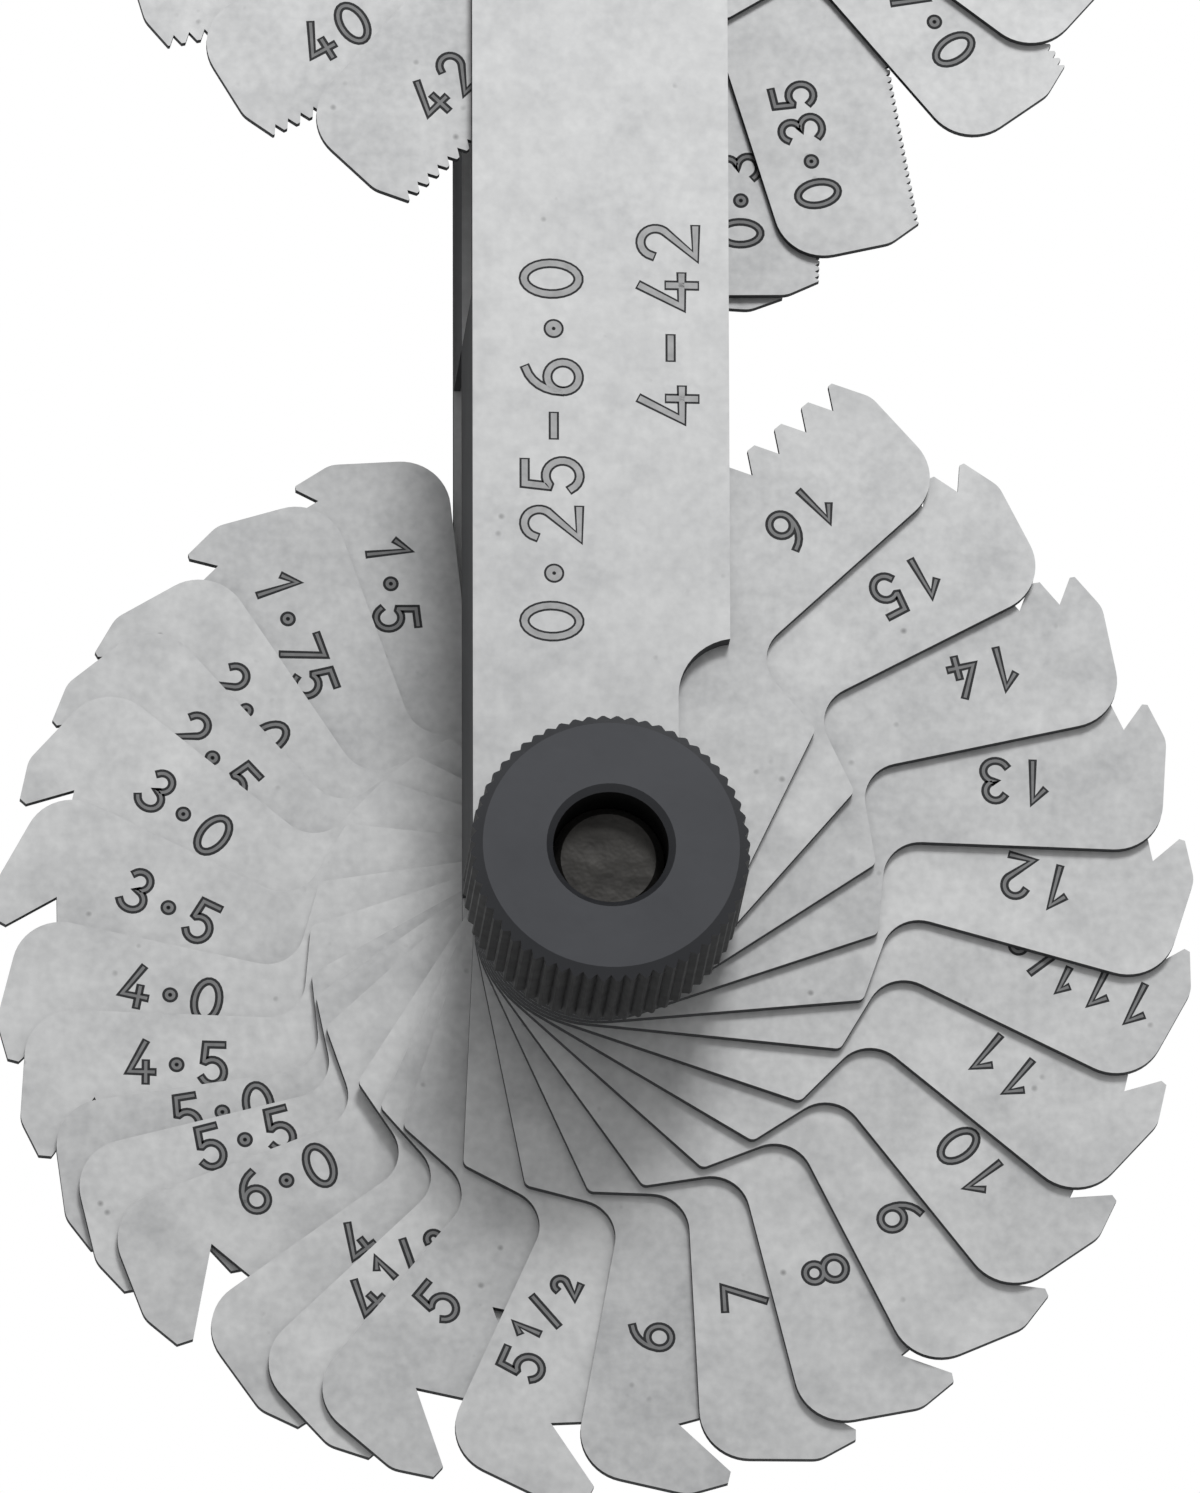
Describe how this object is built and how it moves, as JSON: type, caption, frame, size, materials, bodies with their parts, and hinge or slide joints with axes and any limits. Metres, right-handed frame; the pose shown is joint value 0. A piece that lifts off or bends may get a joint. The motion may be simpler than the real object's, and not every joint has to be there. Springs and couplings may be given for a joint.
{
  "type": "thread pitch gauge",
  "caption": "Folding screw pitch gauge: steel leaves with 60 degree thread teeth fan from both ends of a narrow steel case, clamped by black knurled nuts",
  "frame": {"origin": "centre of the case's flat back face, midway between the two pivots", "axes": "+Y along the case from the coarse pivot to the fine pivot, +Z out of the front cover along both pivots, +X to the right as seen from the front"},
  "size_m": [0.0527, 0.1074, 0.0204],
  "materials": {
    "satin_steel": "satin sheet steel",
    "leaf_steel": "satin ground steel",
    "stud_steel": "peened bare end",
    "black_oxide": "satin black oxide"
  },
  "bodies": {
    "case": {"back_cover": "satin_steel", "divider_plate": "satin_steel", "front_cover": "satin_steel", "pivot_studs": "stud_steel", "upper_spacer": "satin_steel", "lower_spacer": "satin_steel"},
    "coarse_nut": {"coarse_nut": "black_oxide"},
    "fine_nut": {"fine_nut": "black_oxide"},
    "leaf_16_tpi": {"leaf_16_tpi": "leaf_steel"},
    "leaf_15_tpi": {"leaf_15_tpi": "leaf_steel"},
    "leaf_14_tpi": {"leaf_14_tpi": "leaf_steel"},
    "leaf_13_tpi": {"leaf_13_tpi": "leaf_steel"},
    "leaf_12_tpi": {"leaf_12_tpi": "leaf_steel"},
    "leaf_11_5_tpi": {"leaf_11_5_tpi": "leaf_steel"},
    "leaf_11_tpi": {"leaf_11_tpi": "leaf_steel"},
    "leaf_10_tpi": {"leaf_10_tpi": "leaf_steel"},
    "leaf_9_tpi": {"leaf_9_tpi": "leaf_steel"},
    "leaf_8_tpi": {"leaf_8_tpi": "leaf_steel"},
    "leaf_7_tpi": {"leaf_7_tpi": "leaf_steel"},
    "leaf_6_tpi": {"leaf_6_tpi": "leaf_steel"},
    "leaf_5_5_tpi": {"leaf_5_5_tpi": "leaf_steel"},
    "leaf_5_tpi": {"leaf_5_tpi": "leaf_steel"},
    "leaf_4_5_tpi": {"leaf_4_5_tpi": "leaf_steel"},
    "leaf_4_tpi": {"leaf_4_tpi": "leaf_steel"},
    "leaf_6_0_mm": {"leaf_6_0_mm": "leaf_steel"},
    "leaf_5_5_mm": {"leaf_5_5_mm": "leaf_steel"},
    "leaf_5_0_mm": {"leaf_5_0_mm": "leaf_steel"},
    "leaf_4_5_mm": {"leaf_4_5_mm": "leaf_steel"},
    "leaf_4_0_mm": {"leaf_4_0_mm": "leaf_steel"},
    "leaf_3_5_mm": {"leaf_3_5_mm": "leaf_steel"},
    "leaf_3_0_mm": {"leaf_3_0_mm": "leaf_steel"},
    "leaf_2_5_mm": {"leaf_2_5_mm": "leaf_steel"},
    "leaf_2_0_mm": {"leaf_2_0_mm": "leaf_steel"},
    "leaf_1_75_mm": {"leaf_1_75_mm": "leaf_steel"},
    "leaf_1_5_mm": {"leaf_1_5_mm": "leaf_steel"},
    "leaf_42_tpi": {"leaf_42_tpi": "leaf_steel"},
    "leaf_40_tpi": {"leaf_40_tpi": "leaf_steel"},
    "leaf_36_tpi": {"leaf_36_tpi": "leaf_steel"},
    "leaf_32_tpi": {"leaf_32_tpi": "leaf_steel"},
    "leaf_30_tpi": {"leaf_30_tpi": "leaf_steel"},
    "leaf_28_tpi": {"leaf_28_tpi": "leaf_steel"},
    "leaf_27_tpi": {"leaf_27_tpi": "leaf_steel"},
    "leaf_26_tpi": {"leaf_26_tpi": "leaf_steel"},
    "leaf_24_tpi": {"leaf_24_tpi": "leaf_steel"},
    "leaf_22_tpi": {"leaf_22_tpi": "leaf_steel"},
    "leaf_20_tpi": {"leaf_20_tpi": "leaf_steel"},
    "leaf_18_tpi": {"leaf_18_tpi": "leaf_steel"},
    "leaf_1_25_mm": {"leaf_1_25_mm": "leaf_steel"},
    "leaf_1_0_mm": {"leaf_1_0_mm": "leaf_steel"},
    "leaf_0_9_mm": {"leaf_0_9_mm": "leaf_steel"},
    "leaf_0_8_mm": {"leaf_0_8_mm": "leaf_steel"},
    "leaf_0_75_mm": {"leaf_0_75_mm": "leaf_steel"},
    "leaf_0_7_mm": {"leaf_0_7_mm": "leaf_steel"},
    "leaf_0_6_mm": {"leaf_0_6_mm": "leaf_steel"},
    "leaf_0_5_mm": {"leaf_0_5_mm": "leaf_steel"},
    "leaf_0_45_mm": {"leaf_0_45_mm": "leaf_steel"},
    "leaf_0_4_mm": {"leaf_0_4_mm": "leaf_steel"},
    "leaf_0_35_mm": {"leaf_0_35_mm": "leaf_steel"},
    "leaf_0_3_mm": {"leaf_0_3_mm": "leaf_steel"},
    "leaf_0_25_mm": {"leaf_0_25_mm": "leaf_steel"}
  },
  "joints": [
    {"name": "coarse_nut_turn", "type": "hinge", "parent": "case", "child": "coarse_nut", "pos_m": [0, -0.028, 0.0144], "axis": [0, 0, 1], "range_deg": [0, 360]},
    {"name": "fine_nut_turn", "type": "hinge", "parent": "case", "child": "fine_nut", "pos_m": [0, 0.028, 0.0144], "axis": [0, 0, 1], "range_deg": [0, 360]},
    {"name": "leaf_16_tpi_hinge", "type": "hinge", "parent": "case", "child": "leaf_16_tpi", "pos_m": [0, -0.028, 0.007], "axis": [0, 0, 1], "range_deg": [-197, 25]},
    {"name": "leaf_15_tpi_hinge", "type": "hinge", "parent": "case", "child": "leaf_15_tpi", "pos_m": [0, -0.028, 0.007], "axis": [0, 0, 1], "range_deg": [-182, 40]},
    {"name": "leaf_14_tpi_hinge", "type": "hinge", "parent": "case", "child": "leaf_14_tpi", "pos_m": [0, -0.028, 0.007], "axis": [0, 0, 1], "range_deg": [-166.5, 55.5]},
    {"name": "leaf_13_tpi_hinge", "type": "hinge", "parent": "case", "child": "leaf_13_tpi", "pos_m": [0, -0.028, 0.007], "axis": [0, 0, 1], "range_deg": [-152, 70]},
    {"name": "leaf_12_tpi_hinge", "type": "hinge", "parent": "case", "child": "leaf_12_tpi", "pos_m": [0, -0.028, 0.007], "axis": [0, 0, 1], "range_deg": [-138, 84]},
    {"name": "leaf_11_5_tpi_hinge", "type": "hinge", "parent": "case", "child": "leaf_11_5_tpi", "pos_m": [0, -0.028, 0.007], "axis": [0, 0, 1], "range_deg": [-127, 95]},
    {"name": "leaf_11_tpi_hinge", "type": "hinge", "parent": "case", "child": "leaf_11_tpi", "pos_m": [0, -0.028, 0.007], "axis": [0, 0, 1], "range_deg": [-113.5, 108.5]},
    {"name": "leaf_10_tpi_hinge", "type": "hinge", "parent": "case", "child": "leaf_10_tpi", "pos_m": [0, -0.028, 0.007], "axis": [0, 0, 1], "range_deg": [-101, 121]},
    {"name": "leaf_9_tpi_hinge", "type": "hinge", "parent": "case", "child": "leaf_9_tpi", "pos_m": [0, -0.028, 0.007], "axis": [0, 0, 1], "range_deg": [-89.5, 132.5]},
    {"name": "leaf_8_tpi_hinge", "type": "hinge", "parent": "case", "child": "leaf_8_tpi", "pos_m": [0, -0.028, 0.007], "axis": [0, 0, 1], "range_deg": [-77, 145]},
    {"name": "leaf_7_tpi_hinge", "type": "hinge", "parent": "case", "child": "leaf_7_tpi", "pos_m": [0, -0.028, 0.007], "axis": [0, 0, 1], "range_deg": [-66, 156]},
    {"name": "leaf_6_tpi_hinge", "type": "hinge", "parent": "case", "child": "leaf_6_tpi", "pos_m": [0, -0.028, 0.007], "axis": [0, 0, 1], "range_deg": [-53, 169]},
    {"name": "leaf_5_5_tpi_hinge", "type": "hinge", "parent": "case", "child": "leaf_5_5_tpi", "pos_m": [0, -0.028, 0.007], "axis": [0, 0, 1], "range_deg": [-39.5, 182.5]},
    {"name": "leaf_5_tpi_hinge", "type": "hinge", "parent": "case", "child": "leaf_5_tpi", "pos_m": [0, -0.028, 0.007], "axis": [0, 0, 1], "range_deg": [-24.5, 197.5]},
    {"name": "leaf_4_5_tpi_hinge", "type": "hinge", "parent": "case", "child": "leaf_4_5_tpi", "pos_m": [0, -0.028, 0.007], "axis": [0, 0, 1], "range_deg": [-18, 204]},
    {"name": "leaf_4_tpi_hinge", "type": "hinge", "parent": "case", "child": "leaf_4_tpi", "pos_m": [0, -0.028, 0.007], "axis": [0, 0, 1], "range_deg": [-10.5, 211.5]},
    {"name": "leaf_6_0_mm_hinge", "type": "hinge", "parent": "case", "child": "leaf_6_0_mm", "pos_m": [0, -0.028, 0.007], "axis": [0, 0, 1], "range_deg": [-134, 88]},
    {"name": "leaf_5_5_mm_hinge", "type": "hinge", "parent": "case", "child": "leaf_5_5_mm", "pos_m": [0, -0.028, 0.007], "axis": [0, 0, 1], "range_deg": [-126.5, 95.5]},
    {"name": "leaf_5_0_mm_hinge", "type": "hinge", "parent": "case", "child": "leaf_5_0_mm", "pos_m": [0, -0.028, 0.007], "axis": [0, 0, 1], "range_deg": [-121, 101]},
    {"name": "leaf_4_5_mm_hinge", "type": "hinge", "parent": "case", "child": "leaf_4_5_mm", "pos_m": [0, -0.028, 0.007], "axis": [0, 0, 1], "range_deg": [-110, 112]},
    {"name": "leaf_4_0_mm_hinge", "type": "hinge", "parent": "case", "child": "leaf_4_0_mm", "pos_m": [0, -0.028, 0.007], "axis": [0, 0, 1], "range_deg": [-99.5, 122.5]},
    {"name": "leaf_3_5_mm_hinge", "type": "hinge", "parent": "case", "child": "leaf_3_5_mm", "pos_m": [0, -0.028, 0.007], "axis": [0, 0, 1], "range_deg": [-85, 137]},
    {"name": "leaf_3_0_mm_hinge", "type": "hinge", "parent": "case", "child": "leaf_3_0_mm", "pos_m": [0, -0.028, 0.007], "axis": [0, 0, 1], "range_deg": [-72, 150]},
    {"name": "leaf_2_5_mm_hinge", "type": "hinge", "parent": "case", "child": "leaf_2_5_mm", "pos_m": [0, -0.028, 0.007], "axis": [0, 0, 1], "range_deg": [-63, 159]},
    {"name": "leaf_2_0_mm_hinge", "type": "hinge", "parent": "case", "child": "leaf_2_0_mm", "pos_m": [0, -0.028, 0.007], "axis": [0, 0, 1], "range_deg": [-54.5, 167.5]},
    {"name": "leaf_1_75_mm_hinge", "type": "hinge", "parent": "case", "child": "leaf_1_75_mm", "pos_m": [0, -0.028, 0.007], "axis": [0, 0, 1], "range_deg": [-40.5, 181.5]},
    {"name": "leaf_1_5_mm_hinge", "type": "hinge", "parent": "case", "child": "leaf_1_5_mm", "pos_m": [0, -0.028, 0.007], "axis": [0, 0, 1], "range_deg": [-27.5, 194.5]},
    {"name": "leaf_42_tpi_hinge", "type": "hinge", "parent": "case", "child": "leaf_42_tpi", "pos_m": [0, 0.028, 0.007], "axis": [0, 0, 1], "range_deg": [-199, 23]},
    {"name": "leaf_40_tpi_hinge", "type": "hinge", "parent": "case", "child": "leaf_40_tpi", "pos_m": [0, 0.028, 0.007], "axis": [0, 0, 1], "range_deg": [-183.5, 38.5]},
    {"name": "leaf_36_tpi_hinge", "type": "hinge", "parent": "case", "child": "leaf_36_tpi", "pos_m": [0, 0.028, 0.007], "axis": [0, 0, 1], "range_deg": [-169, 53]},
    {"name": "leaf_32_tpi_hinge", "type": "hinge", "parent": "case", "child": "leaf_32_tpi", "pos_m": [0, 0.028, 0.007], "axis": [0, 0, 1], "range_deg": [-155, 67]},
    {"name": "leaf_30_tpi_hinge", "type": "hinge", "parent": "case", "child": "leaf_30_tpi", "pos_m": [0, 0.028, 0.007], "axis": [0, 0, 1], "range_deg": [-141, 81]},
    {"name": "leaf_28_tpi_hinge", "type": "hinge", "parent": "case", "child": "leaf_28_tpi", "pos_m": [0, 0.028, 0.007], "axis": [0, 0, 1], "range_deg": [-127, 95]},
    {"name": "leaf_27_tpi_hinge", "type": "hinge", "parent": "case", "child": "leaf_27_tpi", "pos_m": [0, 0.028, 0.007], "axis": [0, 0, 1], "range_deg": [-113, 109]},
    {"name": "leaf_26_tpi_hinge", "type": "hinge", "parent": "case", "child": "leaf_26_tpi", "pos_m": [0, 0.028, 0.007], "axis": [0, 0, 1], "range_deg": [-100, 122]},
    {"name": "leaf_24_tpi_hinge", "type": "hinge", "parent": "case", "child": "leaf_24_tpi", "pos_m": [0, 0.028, 0.007], "axis": [0, 0, 1], "range_deg": [-87, 135]},
    {"name": "leaf_22_tpi_hinge", "type": "hinge", "parent": "case", "child": "leaf_22_tpi", "pos_m": [0, 0.028, 0.007], "axis": [0, 0, 1], "range_deg": [-74, 148]},
    {"name": "leaf_20_tpi_hinge", "type": "hinge", "parent": "case", "child": "leaf_20_tpi", "pos_m": [0, 0.028, 0.007], "axis": [0, 0, 1], "range_deg": [-61, 161]},
    {"name": "leaf_18_tpi_hinge", "type": "hinge", "parent": "case", "child": "leaf_18_tpi", "pos_m": [0, 0.028, 0.007], "axis": [0, 0, 1], "range_deg": [-48, 174]},
    {"name": "leaf_1_25_mm_hinge", "type": "hinge", "parent": "case", "child": "leaf_1_25_mm", "pos_m": [0, 0.028, 0.007], "axis": [0, 0, 1], "range_deg": [-170, 52]},
    {"name": "leaf_1_0_mm_hinge", "type": "hinge", "parent": "case", "child": "leaf_1_0_mm", "pos_m": [0, 0.028, 0.007], "axis": [0, 0, 1], "range_deg": [-157, 65]},
    {"name": "leaf_0_9_mm_hinge", "type": "hinge", "parent": "case", "child": "leaf_0_9_mm", "pos_m": [0, 0.028, 0.007], "axis": [0, 0, 1], "range_deg": [-144, 78]},
    {"name": "leaf_0_8_mm_hinge", "type": "hinge", "parent": "case", "child": "leaf_0_8_mm", "pos_m": [0, 0.028, 0.007], "axis": [0, 0, 1], "range_deg": [-131, 91]},
    {"name": "leaf_0_75_mm_hinge", "type": "hinge", "parent": "case", "child": "leaf_0_75_mm", "pos_m": [0, 0.028, 0.007], "axis": [0, 0, 1], "range_deg": [-119, 103]},
    {"name": "leaf_0_7_mm_hinge", "type": "hinge", "parent": "case", "child": "leaf_0_7_mm", "pos_m": [0, 0.028, 0.007], "axis": [0, 0, 1], "range_deg": [-107, 115]},
    {"name": "leaf_0_6_mm_hinge", "type": "hinge", "parent": "case", "child": "leaf_0_6_mm", "pos_m": [0, 0.028, 0.007], "axis": [0, 0, 1], "range_deg": [-95, 127]},
    {"name": "leaf_0_5_mm_hinge", "type": "hinge", "parent": "case", "child": "leaf_0_5_mm", "pos_m": [0, 0.028, 0.007], "axis": [0, 0, 1], "range_deg": [-83, 139]},
    {"name": "leaf_0_45_mm_hinge", "type": "hinge", "parent": "case", "child": "leaf_0_45_mm", "pos_m": [0, 0.028, 0.007], "axis": [0, 0, 1], "range_deg": [-70, 152]},
    {"name": "leaf_0_4_mm_hinge", "type": "hinge", "parent": "case", "child": "leaf_0_4_mm", "pos_m": [0, 0.028, 0.007], "axis": [0, 0, 1], "range_deg": [-57, 165]},
    {"name": "leaf_0_35_mm_hinge", "type": "hinge", "parent": "case", "child": "leaf_0_35_mm", "pos_m": [0, 0.028, 0.007], "axis": [0, 0, 1], "range_deg": [-34, 188]},
    {"name": "leaf_0_3_mm_hinge", "type": "hinge", "parent": "case", "child": "leaf_0_3_mm", "pos_m": [0, 0.028, 0.007], "axis": [0, 0, 1], "range_deg": [-22, 200]},
    {"name": "leaf_0_25_mm_hinge", "type": "hinge", "parent": "case", "child": "leaf_0_25_mm", "pos_m": [0, 0.028, 0.007], "axis": [0, 0, 1], "range_deg": [-18, 204]}
  ]
}
